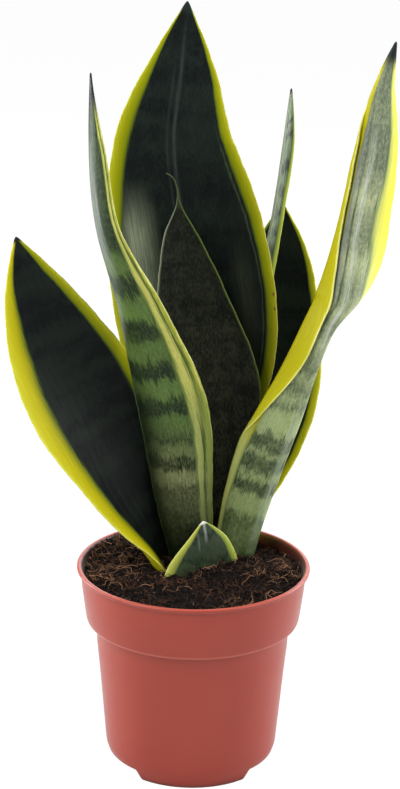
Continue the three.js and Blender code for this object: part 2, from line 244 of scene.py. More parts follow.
def smooth_path(points, pieces):
    """Points on a smooth curve through the given ones, with that many pieces to each span."""
    known = [np.array(point, float) for point in points]
    ends = [2 * known[0] - known[1]] + known + [2 * known[-1] - known[-2]]
    path = []
    for i in range(1, len(ends) - 2):
        before, start, stop, after = ends[i - 1], ends[i], ends[i + 1], ends[i + 2]
        for k in range(pieces):
            t = k / pieces
            path.append(0.5 * (
                2 * start + (stop - before) * t + (2 * before - 5 * start + 4 * stop - after) * t * t
                + (3 * start - before - 3 * stop + after) * t ** 3
            ))
    return path + [known[-1]]


lip_radius = 60.0
pot_height = 106.7
foot_height = 5.3
floor_top = 6.8
arch_middles = (2.5, 182.5)
arch_floor_turn = 52.0
arch_top_turn = 47.0

outside_wall = [(43.5, foot_height), (44.4, 8), (44.75, 10), (46.45, 30), (48.15, 50), (49.5, 64)]
collar_underside = [(50, 75.2), (50.5, 76.5), (52, 77.1), (54.2, 77.6), (55, 78.6), (55.5, 81)]
rolled_lip = [
    (57.4, 96), (57.9, 103.9), (58.6, 104.4), (59.5, 104.7), (60, 105.4), (59.95, 106.1), (59.3, 106.65),
    (58.3, 106.65), (57.3, 105.8), (56.9, 104.2), (56.1, 97),
]
collar_inside = [(54.1, 81.8), (53.1, 79.2), (50.4, 78.4), (49.2, 77.6), (48.6, 75.6), (48, 64)]
inside_wall = [(46.65, 50), (44.95, 30), (43.2, 9.8), (42.6, 7.6), (41.8, floor_top)]
# The skirt's radius inside and outside: at the floor, and how much more at its root
skirt_inside = (40.6, 0.7)
skirt_outside = (42.1, 1.4)
skirt_rounding = 0.2


def arch_height(turn):
    """How high the skirt's lower edge is at this angle round the pot, in millimetres."""
    away = min(abs((turn - middle + 180) % 360 - 180) for middle in arch_middles)
    share = max(0.0, min(1.0, (arch_floor_turn - away) / (arch_floor_turn - arch_top_turn)))
    return (foot_height - 0.03) * share * share * (3 - 2 * share)


def skirt(low):
    """The skirt from its root inside, round its lower edge and up outside, for an edge that high."""
    inside, outside = [], []
    for share in (0.0, 0.08, 0.25, 0.5, 0.75, 1.0):
        height = low + (foot_height - low) * share
        soft = 0.0 if share else skirt_rounding
        inside.append((skirt_inside[0] + skirt_inside[1] * height / foot_height + soft, height))
        outside.append((skirt_outside[0] + skirt_outside[1] * height / foot_height - soft, height))
    return inside[::-1] + outside[:-1]


pot_wall = (
    outside_wall + smooth_path(collar_underside, 5) + smooth_path(rolled_lip, 5)
    + smooth_path(collar_inside, 3) + inside_wall
)
pot_wall = [(min(r, lip_radius - 0.02), min(z, pot_height - 0.02)) for r, z in pot_wall]
pot_turns = {side * 1.5 for side in range(240)}
for middle in arch_middles:
    # The steps are finer where an arch ends
    pot_turns |= {(middle + way * (46 + 0.5 * k)) % 360 for way in (-1, 1) for k in range(14)}
pot_turns = sorted(pot_turns)
pot_points, pot_faces = [], []
for turn in pot_turns:
    column = skirt(arch_height(turn)) + pot_wall
    spin_x, spin_y = math.cos(math.radians(turn)), math.sin(math.radians(turn))
    pot_points += [(r * spin_x, r * spin_y, z) for r, z in column]
column_size = len(column)
under_middle = len(pot_points)
pot_points += [(0, 0, foot_height), (0, 0, floor_top)]
for side in range(len(pot_turns)):
    a, b = side * column_size, (side + 1) % len(pot_turns) * column_size
    pot_faces += [(a + k, b + k, b + k + 1, a + k + 1) for k in range(column_size - 1)]
    pot_faces.append((under_middle, b, a))
    pot_faces.append((under_middle + 1, a + column_size - 1, b + column_size - 1))


def circle(radius, sides, shift=0.0):
    """Places on a circle round the pot's axis; shift turns them by that share of a side."""
    turns = [2 * math.pi * (side + shift) / sides for side in range(sides)]
    return [(radius * math.cos(turn), radius * math.sin(turn)) for turn in turns]


def strip(first, rings, sides, side):
    """The faces up one side of a stack of rings of points, from the first point on."""
    after = (side + 1) % sides
    lows = [first + ring * sides for ring in range(rings - 1)]
    return [(low + side, low + after, low + sides + after, low + sides + side) for low in lows]


def worked_out(thing):
    """The mesh that a thing has with its modifiers at work, which then go."""
    mesh = bpy.data.meshes.new_from_object(thing.evaluated_get(bpy.context.evaluated_depsgraph_get()))
    thing.modifiers.clear()
    return mesh


terracotta, wire = new_material("terracotta_plastic")
spot = wire.get("ShaderNodeTexCoord", out="Object")
off_x, off_y, pot_rise = wire.parts(wire.vectors("SUBTRACT", spot, (pot_x, pot_y, 0)))
pot_reach = wire.vectors("LENGTH", wire.vector(off_x, off_y, 0))
mottle = wire.cloud(spot, 38, 4, 0.6)
speckle = wire.cloud(spot, 900, 3, 0.6)
body_colour = wire.mix(mottle, (149, 48, 29), (160, 55, 35))
body_colour = wire.mix(wire.times(speckle, 0.12), body_colour, (120, 44, 30))
# Painted highlights: light lines at the collar's lower edge and round the lip, where light catches those
# edges: height, half width and colour
for rise, spread, shade in ((78.4, 0.9, (222, 120, 92)), (106.8, 0.7, (206, 78, 42))):
    edge_highlight = wire.times(wire.step(wire.apart(pot_rise, rise * MM), spread * MM, 0), 0.35)
    body_colour = wire.mix(edge_highlight, body_colour, shade)
# The wall's middle line tells its inside from its outside, above the collar's lower edge. The inside there is
# painted dark: a painted shade inside the pot.
wall_line = wire.maths("MULTIPLY_ADD", pot_rise, 0.127, 44.3 * MM)
inner_wall_shade = wire.step(wire.maths("SUBTRACT", wall_line, pot_reach), -0.3 * MM, 0.2 * MM)
inner_wall_shade = wire.times(inner_wall_shade, wire.step(pot_rise, 79 * MM, 82 * MM))
body_colour = wire.mix(wire.times(inner_wall_shade, 0.9), body_colour, (52, 20, 17))
# The skirt is painted darker towards its lower edge.
foot_darkening = wire.times(wire.step(pot_rise, 3.5 * MM, 0), 0.6)
body_colour = wire.mix(foot_darkening, body_colour, (80, 34, 26))
pot_gloss = wire.step(mottle, 0.2, 0.8, 0.34, 0.42)
pot_grain = wire.bump(wire.cloud(spot, 1400, 4, 0.65), 0.06 * MM)
wire.finish(body_colour, pot_gloss, pot_grain, 0.6, Sheen_Weight=0.35, Sheen_Roughness=0.3)

pot = piece_from("pot_moulding", pot_points, pot_faces, terracotta, 50)
drain_radius = 3.5
drain_circle = 29
drill_sides = 24
drill_points, drill_faces = [], []
# One hole in the middle and six round it, the first of them in line with an arch
for x, y in [(0, 0)] + circle(drain_circle, 6, arch_middles[0] / 60):
    first = len(drill_points)
    rim = circle(drain_radius, drill_sides)
    drill_points += [(x + off_x, y + off_y, height) for height in (2, 10) for off_x, off_y in rim]
    for side in range(drill_sides):
        drill_faces += strip(first, 2, drill_sides, side)
    top = first + drill_sides
    drill_faces += [tuple(reversed(range(first, top))), tuple(range(top, top + drill_sides))]
drill = piece_from("drill", drill_points, drill_faces, terracotta)
cut = pot.modifiers.new("drain_holes", "BOOLEAN")
cut.operation = "DIFFERENCE"
cut.solver = "EXACT"
cut.object = drill
pot.data = worked_out(pot)
bpy.data.objects.remove(drill)
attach(pot, "root")
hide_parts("pot")


# ---------- potting soil ----------
# Dark peat with coir, pressed loosely into the pot to just under the lip and heaped a little.
# Its top is a fine uneven crust with loose crumbs and curled brown fibres lying on it.

soil_level = 101.0
# Low heaps and dips: x and y from the pot's axis, rise and spread
soil_heaps = (
    (-40, 25, 5.4, 11), (-46, -10, 2.4, 12), (14, 8, 1, 15), (47, -4, 3, 11),
    (-30, -24, 0.8, 14), (6, -40, 0.6, 14), (34, 36, -1.4, 14), (-8, -12, -0.8, 12),
)
soil_side = (
    (floor_top + 0.3, 41.3), (9.8, 42.75), (30, 44.5), (50, 46.2), (64, 47.55), (76, 48.15),
    (78, 48.75), (79, 50.2), (79.3, 52), (80.2, 52.9), (82, 53.65), (90, 54.7),
)
soil_edge = 56.0
soil_rings = 84
soil_sides = 264


def soil_height(x, y):
    """Height of the crust in millimetres at a place measured from the pot's axis."""
    height = soil_level
    for heap_x, heap_y, rise, spread in soil_heaps:
        height += rise * math.exp(-((x - heap_x) ** 2 + (y - heap_y) ** 2) / (2 * spread ** 2))
    broad = math.sin(x / 3.1 + y / 7.3) * math.cos(y / 3.7 - x / 9.1)
    height += 0.55 * (broad + 0.6 * math.sin(x / 1.9 - y / 2.3))
    height += 1.1 * noise.noise(Vector((x / 3.4, y / 3.4, 1.7)))
    height += 0.8 * noise.noise(Vector((x / 1.3, y / 1.3, 8.1)))
    height += 0.35 * noise.noise(Vector((x / 0.6, y / 0.6, 4.4)))
    return height



soil_points = [(0, 0, soil_side[0][0])]
for height, radius in soil_side:
    soil_points += [(x, y, height) for x, y in circle(radius, soil_sides)]
for ring in range(soil_rings):
    places = circle(soil_edge * (1 - ring / soil_rings), soil_sides, 0.5 * (ring % 2))
    soil_points += [(x, y, soil_height(x, y)) for x, y in places]
soil_points.append((0, 0, soil_height(0, 0)))
soil_loops = len(soil_side) + soil_rings
soil_last = 1 + (soil_loops - 1) * soil_sides
soil_faces = []
for side in range(soil_sides):
    after = (side + 1) % soil_sides
    soil_faces.append((0, 1 + after, 1 + side))
    soil_faces += strip(1, soil_loops, soil_sides, side)
    soil_faces.append((soil_last + side, soil_last + after, soil_last + soil_sides))

peat, wire = new_material("dark_peat")
spot = wire.get("ShaderNodeTexCoord", out="Object")
lumps = wire.cloud(spot, 420, 6, 0.7)
patches = wire.cloud(spot, 60, 3, 0.6)
peat_colour = wire.ramp(lumps, [(0.32, 7, 5, 4), (0.5, 22, 14, 10), (0.68, 52, 33, 22)])
peat_colour = wire.mix(wire.step(patches, 0.4, 0.7, 0, 0.5), peat_colour, (34, 21, 15))
wire.finish(peat_colour, 0.95, wire.bump(lumps, 1.2 * MM, 0.9), 0.15)
soil = piece_from("soil_bed", soil_points, soil_faces, peat, 180)
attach(soil, "root")
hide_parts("soil")


def crumb_material(name, dark, light):
    """Loose plant matter: every crumb or fibre has its own shade between dark and light."""
    material, wire = new_material(name)
    own = wire.get("ShaderNodeAttribute", out="Fac", attribute_name="shade")
    grain = wire.cloud(wire.get("ShaderNodeTexCoord", out="Object"), 1500, 3, 0.7)
    colour = wire.mix(wire.maths("POWER", own, 2.6), dark, light)
    colour = wire.mix(wire.times(grain, 0.6), colour, dark)
    wire.finish(colour, 0.9, wire.bump(grain, 0.3 * MM, 0.7), 0.2)
    return material


class Growing(Wiring):
    """The wiring of one geometry tree with named inputs, which grows new pieces on others."""

    def __init__(self, name, **inputs):
        super().__init__(bpy.data.node_groups.new(name, "GeometryNodeTree"))
        face = self.tree.interface
        for way in ("INPUT", "OUTPUT"):
            face.new_socket("Geometry", in_out=way, socket_type="NodeSocketGeometry")
        self.names = {}
        for label, kind in inputs.items():
            socket = face.new_socket(label, in_out="INPUT", socket_type="NodeSocket" + kind)
            self.names[label] = socket.identifier
        self.given = self.put("NodeGroupInput").outputs

    def chance(self, low, high, seed):
        """A random number for each thing, between low and high."""
        return self.get("FunctionNodeRandomValue", {2: low, 3: high, "Seed": seed}, 1, data_type="FLOAT")

    def scaled(self, vector, factor):
        return self.get("ShaderNodeVectorMath", {0: vector, "Scale": factor}, operation="SCALE")

    def moved(self, geometry, offset):
        return self.get("GeometryNodeSetPosition", {"Geometry": geometry, "Offset": offset})

    def strewn(self, thing, lay_flat, size, seed):
        """Copies of a thing on the crust away from the wall, each with a turn, size and shade."""
        height = self.parts(self.get("GeometryNodeInputPosition"))[2]
        facing = self.parts(self.get("GeometryNodeInputNormal"))[2]
        on_top = self.get("FunctionNodeBooleanMath", {
            0: self.maths("GREATER_THAN", height, self.given["Lowest"]),
            1: self.maths("GREATER_THAN", facing, 0.2),
        }, operation="AND")
        points = self.get("GeometryNodeDistributePointsOnFaces", {
            "Mesh": self.given["Geometry"], "Selection": on_top,
            "Density": self.given["Density"], "Seed": self.given["Seed"],
        })
        turn = self.vector(
            self.chance(-lay_flat, lay_flat, 3), self.chance(-lay_flat, lay_flat, 4),
            self.chance(-math.pi, math.pi, 5),
        )
        copies = self.get("GeometryNodeInstanceOnPoints", {
            "Points": points, "Instance": thing, "Rotation": turn, "Scale": size,
        })
        shaded = self.get("GeometryNodeStoreNamedAttribute", {
            "Geometry": copies, "Name": "shade", "Value": self.chance(0.0, 1.0, seed),
        }, domain="INSTANCE", data_type="FLOAT")
        return self.get("GeometryNodeRealizeInstances", {0: shaded})

    def crinkled(self, geometry, wave_scale, middle, reach):
        """The geometry pushed about by coloured noise whose middle value is given."""
        waves = self.get("ShaderNodeTexNoise", {"Scale": wave_scale, "Detail": 1.0}, "Color")
        return self.moved(geometry, self.scaled(self.vectors("SUBTRACT", waves, middle), reach))

    def kept_inside(self, geometry):
        """The geometry with whatever would pass through the pot's wall pulled back."""
        place = self.get("GeometryNodeInputPosition")
        flat = self.vectors("MULTIPLY", self.vectors("SUBTRACT", place, (pot_x, pot_y, 0)), (1, 1, 0))
        reach = self.maths("MAXIMUM", self.vectors("LENGTH", flat), MM)
        share = self.maths("MINIMUM", self.maths("DIVIDE", self.given["Reach"], reach), 1.0)
        return self.moved(geometry, self.scaled(flat, self.maths("SUBTRACT", share, 1.0)))

    def close(self, geometry):
        """The last nodes: everything real, and in its material."""
        real = self.get("GeometryNodeRealizeInstances", {0: geometry})
        dressed = self.get("GeometryNodeSetMaterial", {"Geometry": real, "Material": self.given["Material"]})
        self.put("NodeGroupOutput", {0: dressed})

    def grow_on(self, base, name, values):
        """The tree's result on base as a plain object of its own."""
        modifier = base.modifiers.new(name, "NODES")
        modifier.node_group = self.tree
        for label, value in values.items():
            modifier[self.names[label]] = value
        mesh = worked_out(base)
        mesh.shade_smooth()
        return shown(name, mesh)


crumbs = Growing(
    "soil_crumbs", Density="Float", Size="Float", Seed="Int", Roundness="Int", Lowest="Float",
    Reach="Float", Material="Material",
)
crumb_ball = crumbs.get("GeometryNodeMeshIcoSphere", {
    "Radius": 1.0, "Subdivisions": crumbs.given["Roundness"],
})
crumb_size = crumbs.vector(*(
    crumbs.times(crumbs.given["Size"], crumbs.chance(low, high, seed))
    for low, high, seed in ((0.4, 1.3, 11), (0.3, 0.9, 12), (0.25, 0.8, 13))
))
crumb_set = crumbs.strewn(crumb_ball, math.pi, crumb_size, 14)
crumb_dents = crumbs.times(crumbs.given["Size"], 1.3)
crumb_set = crumbs.crinkled(crumb_set, 1100.0, (0.5, 0.5, 0.5), crumb_dents)
crumbs.close(crumbs.kept_inside(crumb_set))

fibres = Growing(
    "coir_fibres", Density="Float", Length="Float", Thickness="Float", Curl="Float", Seed="Int",
    Lowest="Float", Reach="Float", Material="Material",
)
fibre_arc = fibres.get("GeometryNodeCurveArc", {
    "Resolution": 14, "Radius": 1.0, "Start Angle": -0.9, "Sweep Angle": 2.1,
}, mode="RADIUS")
fibre_arc = fibres.moved(fibre_arc, (-0.8, 0, 0))
fibre_size = fibres.times(fibres.given["Length"], fibres.chance(0.35, 1.25, 21))
fibre_set = fibres.strewn(fibre_arc, 0.55, fibre_size, 22)
fibre_set = fibres.kept_inside(fibres.crinkled(fibre_set, 210.0, (0.5, 0.5, 0.42), fibres.given["Curl"]))
from_middle = fibres.apart(fibres.get("GeometryNodeSplineParameter"), 0.5)
fibre_taper = fibres.maths("SUBTRACT", 1.0, fibres.times(from_middle, 1.3))
fibre_set = fibres.get("GeometryNodeSetCurveRadius", {"Curve": fibre_set, "Radius": fibre_taper})
fibre_ring = fibres.get("GeometryNodeCurvePrimitiveCircle", {
    "Resolution": 4, "Radius": fibres.given["Thickness"],
})
fibres.close(fibres.get("GeometryNodeCurveToMesh", {
    "Curve": fibre_set, "Profile Curve": fibre_ring, "Fill Caps": True,
}))

crumb_dark = crumb_material("peat_crumbs", (4, 3, 3), (34, 23, 19))
fibre_brown = crumb_material("brown_coir", (40, 25, 17), (200, 148, 110))
fibre_black = crumb_material("dark_rootlets", (9, 6, 5), (112, 76, 56))
fibre_thickness = 0.15 * MM
# What lies on the crust: how many to the square metre and how big, above which height and how far out
for tree, name, material, values in (
    (crumbs, "soil_lumps", crumb_dark, {"Density": 100000.0, "Size": 1.5 * MM, "Seed": 3, "Roundness": 2}),
    (crumbs, "soil_grains", crumb_dark, {
        "Density": 420000.0, "Size": 0.7 * MM, "Seed": 8, "Roundness": 1, "Reach": 55.9 * MM,
    }),
    (fibres, "coir_fibres", fibre_brown, {
        "Density": 19000.0, "Length": 8.5 * MM, "Thickness": fibre_thickness, "Curl": 7.0 * MM, "Seed": 5,
    }),
    (fibres, "coir_mats", fibre_brown, {
        "Density": 190000.0, "Length": 4.6 * MM, "Thickness": fibre_thickness, "Curl": 8.0 * MM, "Seed": 6,
        "Lowest": 102.8 * MM,
    }),
    (fibres, "dark_fibres", fibre_black, {
        "Density": 110000.0, "Length": 5.0 * MM, "Thickness": fibre_thickness, "Curl": 8.0 * MM, "Seed": 9,
    }),
):
    common = {"Lowest": 94 * MM, "Reach": 55.8 * MM, "Material": material}
    piece = tree.grow_on(soil, name, {**common, **values})
    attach(piece, "root")


# ---------- buried stem and roots ----------
# The thick ochre stem that creeps under the soil, with its roots. It grew with the leaves, and its
# shape is right as it comes, so it only gets the ringed skin of such a stem.

stem_skin, wire = new_material("ochre_stem_skin")
spot = wire.get("ShaderNodeTexCoord", out="Object")
blotches = wire.cloud(spot, 90, 4, 0.6)
rings = wire.cloud(wire.vectors("MULTIPLY", spot, (420, 160, 160)), 1, 3, 0.6)
skin_colour = wire.ramp(blotches, [(0.3, 150, 100, 45), (0.55, 196, 146, 78), (0.75, 222, 190, 130)])
skin_colour = wire.mix(wire.step(rings, 0.55, 0.7, 0, 0.6), skin_colour, (104, 64, 30))
wire.finish(skin_colour, 0.6, wire.bump(rings, 0.5 * MM, 0.8), 0.4)
for stem_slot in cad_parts["rhizome"].material_slots:
    stem_slot.material = stem_skin


# ---------- leaves ----------
# Eight thick waxy leaves, each grown as one blade that is cupped along its middle and ends in a
# point. The faces have jagged cross bands of two greens, the margins are yellow along both edges.

# Each row of a leaf: x, y, z of the mid line from the pot's axis, width along the surface, the
# heading of the upper face (0 looks to the front), the cupping angle at the edge in degrees, and
# for the folded leaf the share of the right half that is folded back under.
leaf_rows = {
    "leaf_front_small": (
        (5.5, 5, 84, 48, -146, 8), (5.5, 5, 100, 47, -146, 12), (6, 4, 116, 28, -148, 16),
        (4.5, 3, 129, 1, -150, 16),
    ),
    "leaf_left": (
        (-12.5, 15.5, 84, 23, 104, 54), (-23.5, 13.5, 115, 37, 68, 48), (-37, 9, 145, 48, 43, 36),
        (-52.3, 7.5, 183, 65, 32, 26), (-70.3, 4, 221, 54, 22, 22), (-83, -3, 258, 26.5, 14, 20),
        (-89, -8, 280, 1, 10, 15),
    ),
    "leaf_centre": (
        (3, 15.5, 84, 18, 195, 30), (-5, 10, 135, 31, 182, 34), (-11.7, -0.5, 185, 38.5, 170, 34),
        (-28.5, -6, 235, 37, 138, 34), (-48.2, -9, 286, 33, 112, 38), (-52.3, -12, 330, 23, 106, 40),
        (-52.2, -14, 361.5, 1, 95, 35),
    ),
    "leaf_tall": (
        (3, 36.5, 84, 28, 0, 36), (2.5, 42, 146, 48, 2, 33), (1, 46.5, 212.5, 83, 2, 24),
        (-7, 50, 268.5, 82, 2, 18), (-13.5, 53, 318.5, 60.5, 0, 15), (-10.5, 57, 349.5, 38.5, 0, 13),
        (-7.7, 62, 386, 1, 0, 12),
    ),
    "leaf_inner": (
        (3, 28.5, 84, 13, 8, 40), (4, 32.5, 137, 38, 6, 28), (4, 35, 188, 60, 2, 22),
        (-3, 37, 238, 38, -3, 20), (-9.5, 38, 274, 15.5, -5, 20), (-10.7, 37.5, 288, 2, -5, 10),
        (-11.6, 36.5, 296.5, 0.8, -5, 0), (-14, 36, 301.5, 0.7, -5, 0), (-17.3, 35.5, 303.5, 0.6, -5, 0),
    ),
    "leaf_right": (
        (25.5, 28, 84, 31, 232, 57, 0), (32.5, 26, 116, 42, 230, 55, 0),
        (42.5, 21.5, 150.5, 49, 227, 55, 0), (52, 17, 181.5, 50, 226, 57, 0.22),
        (60.2, 13.5, 212, 48, 221, 64, 0.46), (66.6, 10.5, 231, 47.5, 207, 67, 0.5),
        (73, 8, 243, 54, 196, 60, 0.46), (76, 7, 258, 48.5, 184, 57, 0.42),
        (79, 4.5, 286.5, 37, 167, 54, 0.34),
        (83, 2.5, 312.5, 32, 170, 51, 0.32), (86.3, 1.5, 338, 21.5, 172, 50, 0.2),
        (87.2, 1, 349.5, 15, 174, 50, 0), (92.5, 0, 376.5, 1, 176, 30, 0),
    ),
    "leaf_narrow": (
        (18, 41.5, 84, 9, 0, 40), (24.5, 51.5, 156, 20, 30, 46), (29.5, 57, 221.5, 17, 50, 45),
        (39.2, 62, 277.5, 13, 60, 45), (44.3, 67, 318, 11.5, 60, 40), (46.2, 70, 341.5, 1, 60, 30),
    ),
    "leaf_back_right": (
        (7, 47, 84, 12, -15, 30), (13.5, 52, 107, 17, -15, 30), (27.5, 57.5, 128, 31.5, -15, 34),
        (40, 67, 173, 53, -15, 28), (42, 75, 222.5, 48.5, -12, 22), (43.5, 81, 257, 27, -10, 18),
        (44, 84, 278, 1, -10, 12),
    ),
}
# Width of the yellow margin in millimetres: share of the leaf's length, at its left edge, at its right
leaf_margins = {
    "leaf_front_small": ((0, 5.5, 5.5), (0.5, 5.5, 5.5), (0.8, 3.6, 3.6), (0.95, 1.3, 1.3), (1, 0.6, 0.6)),
    "leaf_left": (
        (0, 9, 6), (0.25, 10.5, 7), (0.35, 11, 8), (0.45, 13, 8.5), (0.55, 13.8, 8.5), (0.7, 12.8, 6.5),
        (0.8, 9.5, 6), (0.9, 4.3, 5), (0.96, 2, 2.6), (1, 0.8, 0.8),
    ),
    "leaf_centre": (
        (0, 7.2, 1.2), (0.25, 9.8, 1.2), (0.37, 11, 1.2), (0.43, 10.4, 1.2), (0.5, 8.8, 1.2),
        (0.56, 7.8, 1.2), (0.62, 6.9, 1.2), (0.68, 4.9, 1.2), (0.73, 3.7, 1), (0.8, 3.1, 0.8),
        (0.9, 2.6, 0.8), (0.95, 1.2, 0.7), (1, 0.6, 0.6),
    ),
    "leaf_tall": (
        (0, 6, 6), (0.35, 7, 6.5), (0.5, 7.5, 6), (0.6, 8, 6.5), (0.68, 8.5, 7.4), (0.79, 8.3, 6.2),
        (0.85, 6.3, 4.8), (0.91, 3.4, 2.8), (0.96, 1.3, 1.2), (0.98, 0.7, 0.7), (1, 0.5, 0.5),
    ),
    "leaf_inner": ((0, 1.4, 1), (0.6, 1.3, 1), (0.85, 1.1, 0.9), (0.92, 0.5, 0.5), (1, 0.4, 0.4)),
    "leaf_right": (
        (0, 7, 1.6), (0.09, 8, 2.2), (0.17, 8.6, 3.4), (0.25, 9, 5), (0.31, 9, 7), (0.36, 10, 9.6),
        (0.42, 12.4, 10.8), (0.5, 14.8, 12), (0.58, 15.6, 11.6), (0.67, 14, 10.6), (0.74, 11, 9),
        (0.8, 7.6, 7.4), (0.88, 5.2, 4.2), (0.95, 2.4, 2), (1, 0.7, 0.7),
    ),
    "leaf_narrow": ((0, 1, 2.5), (0.5, 1.3, 3.6), (0.8, 1.1, 2.8), (0.95, 0.6, 1), (1, 0.4, 0.5)),
    "leaf_back_right": ((0, 2, 3), (0.5, 3.2, 5), (0.8, 3, 4.2), (0.93, 1.6, 2), (1, 0.6, 0.6)),
}
keel_rounding = 4.0
fold_length = 3.2
edge_thickness = 0.9
tip_rounding = 1.2
flute_pitch = 4.6
flute_depth = 0.04
edge_swell = 0.22
# How far apart the mesh's lines across and along a leaf are, and where the last ones before its tip are
ring_spacing = 1.5
line_spacing = 1.35
tip_rings = (3.4, 2.4, 1.6, 1.1, 0.7, 0.4, 0.2, 0.08, 0)


def along_rows(rows, shares):
    """Values on a smooth curve through the rows, at shares of its length."""
    rows = np.array(rows, float)
    spans = np.linalg.norm(np.diff(rows[:, :3], axis=0), axis=1)
    slopes = np.diff(rows, axis=0) / spans[:, None]
    tangents = np.zeros_like(rows)
    tangents[1:-1] = (slopes[:-1] * spans[1:, None] + slopes[1:] * spans[:-1, None])
    tangents[1:-1] /= (spans[:-1] + spans[1:])[:, None]
    tangents[0] = 1.5 * slopes[0] - 0.5 * tangents[1]
    tangents[-1] = 1.5 * slopes[-1] - 0.5 * tangents[-2]
    starts = np.concatenate([[0], np.cumsum(spans)])
    wanted = np.clip(shares, 0, 1) * starts[-1]
    i = np.clip(np.searchsorted(starts, wanted, side="right") - 1, 0, len(spans) - 1)
    span = spans[i][:, None]
    w = ((wanted - starts[i]) / spans[i])[:, None]
    return (
        (2 * w ** 3 - 3 * w ** 2 + 1) * rows[i] + (w ** 3 - 2 * w ** 2 + w) * span * tangents[i]
        + (3 * w ** 2 - 2 * w ** 3) * rows[i + 1] + (w ** 3 - w ** 2) * span * tangents[i + 1]
    )


def blade_turn(share, side, half, cup, hem, keeled):
    """How far the blade has turned at a share of one half; side is -1 for left and +1 for right."""
    if not keeled:
        return cup * share
    keel = min(0.5, keel_rounding / half)
    turn = cup * (0.2 * share + 0.8 * np.minimum(1, share / keel))
    if side > 0 and hem > 0:
        turn = turn - math.pi * np.clip((share - 1 + hem) * half / fold_length, 0, 1)
    return turn


def blade_section(columns, half, cup, hem, keeled):
    """Across, up and turn at each column from -1 to +1, for a half width of 1."""
    fine = np.linspace(0, 1, 401)
    middle = (fine[1:] + fine[:-1]) / 2
    result = np.zeros((3, len(columns)))
    for side in (-1, 1):
        turn = blade_turn(middle, side, half, cup, hem, keeled)
        out = np.concatenate([[0], np.cumsum(np.cos(turn))]) / 400
        up = np.concatenate([[0], np.cumsum(np.sin(turn))]) / 400
        mine = columns < 0 if side < 0 else columns >= 0
        share = np.abs(columns[mine])
        result[0, mine] = side * np.interp(share, fine, out)
        result[1, mine] = np.interp(share, fine, up)
        result[2, mine] = side * blade_turn(share, side, half, cup, hem, keeled)
    return result


def blade_columns(half, hem, keeled, count):
    """Places across the blade for its mesh lines, close together at the edges, the keel and a fold."""
    *rim, margin = [min(0.5, away / half) for away in (0.0, 0.04, 0.14, 0.3, 0.5)]
    last = 1 - margin
    if keeled:
        keel = min(0.3, max(0.1, keel_rounding / half))
        start = min(1 - max(0.0, hem), 0.84)
        end = min(start + fold_length / half, 0.95)
        # Where each stretch of lines starts, and how many lines it has
        stops = [(-last, 18), (-keel - 0.04, 10), (keel + 0.04, 14), (start, 12), (end, 6), (last, 0)]
        inner = []
        for (low, pieces), (high, _) in zip(stops, stops[1:]):
            high = max(high, low + 1e-4)
            inner += list(low + (high - low) * np.arange(pieces) / pieces)
        inner.append(max(last, inner[-1] + 1e-4))
    else:
        inner = np.linspace(-last, last, count)
    return np.concatenate([[-1 + away for away in rim], inner, [1 - away for away in reversed(rim)]])


def ripple(place, seed, length):
    """A slow wave of about one, from -1 to 1, that differs for each seed."""
    turn = place * 2 * math.pi / length
    return (
        np.sin(turn + seed * 1.7) + 0.6 * np.sin(turn / 0.43 + seed * 3.1)
        + 0.4 * np.sin(turn / 0.19 + seed * 5.3)
    ) / 2


def new_effect(name, result, **inputs):
    """An empty shader group with named inputs and one result: the group, its wiring, what goes in."""
    group = bpy.data.node_groups.new(name, "ShaderNodeTree")
    for label, kind in inputs.items():
        group.interface.new_socket(label, in_out="INPUT", socket_type="NodeSocket" + kind)
    group.interface.new_socket(result, in_out="OUTPUT", socket_type="NodeSocketFloat")
    wiring = Wiring(group)
    return group, wiring, wiring.put("NodeGroupInput").outputs


# Fine lines that run the length of a leaf, from 0 to 1
leaf_lines, wire, given = new_effect("leaf_lines", "Line", Place="Vector", Pitch="Float", Run="Float")
x, y, z = wire.parts(given["Place"])
line_place = wire.vector(
    wire.maths("DIVIDE", x, given["Pitch"]), wire.maths("DIVIDE", y, given["Run"]), wire.times(z, 7.3),
)
wire.put("NodeGroupOutput", {"Line": wire.step(wire.cloud(line_place, 1, 2, 0.6), 0.3, 0.7)})

# Place along the leaf with the jagged offset that its cross bands have, in millimetres
leaf_jags, wire, given = new_effect("leaf_jags", "Along", Place="Vector", Jag="Float", Sway="Float")
x, y, z = wire.parts(given["Place"])
jag = wire.cloud(wire.vector(wire.times(x, 1.5), wire.times(y, 0.09), z), 1, 4, 0.75)
sway = wire.cloud(wire.vector(wire.times(x, 0.22), wire.times(y, 0.08), z), 1, 2, 0.5)
jagged = wire.shaken(wire.shaken(y, jag, given["Jag"]), sway, given["Sway"])
wire.put("NodeGroupOutput", {"Along": jagged})

# Cross bands where no single band is placed: 0 in the dark ones, 1 in the light ones
leaf_bands, wire, given = new_effect("leaf_bands", "Band", Place="Vector", Along="Float", Spacing="Float")
x, _, z = wire.parts(given["Place"])
band_place = wire.vector(
    wire.times(x, 0.018), wire.maths("DIVIDE", given["Along"], given["Spacing"]), wire.times(z, 3.7),
)
wire.put("NodeGroupOutput", {"Band": wire.step(wire.cloud(band_place, 1, 2.5, 0.55), 0.4, 0.6)})


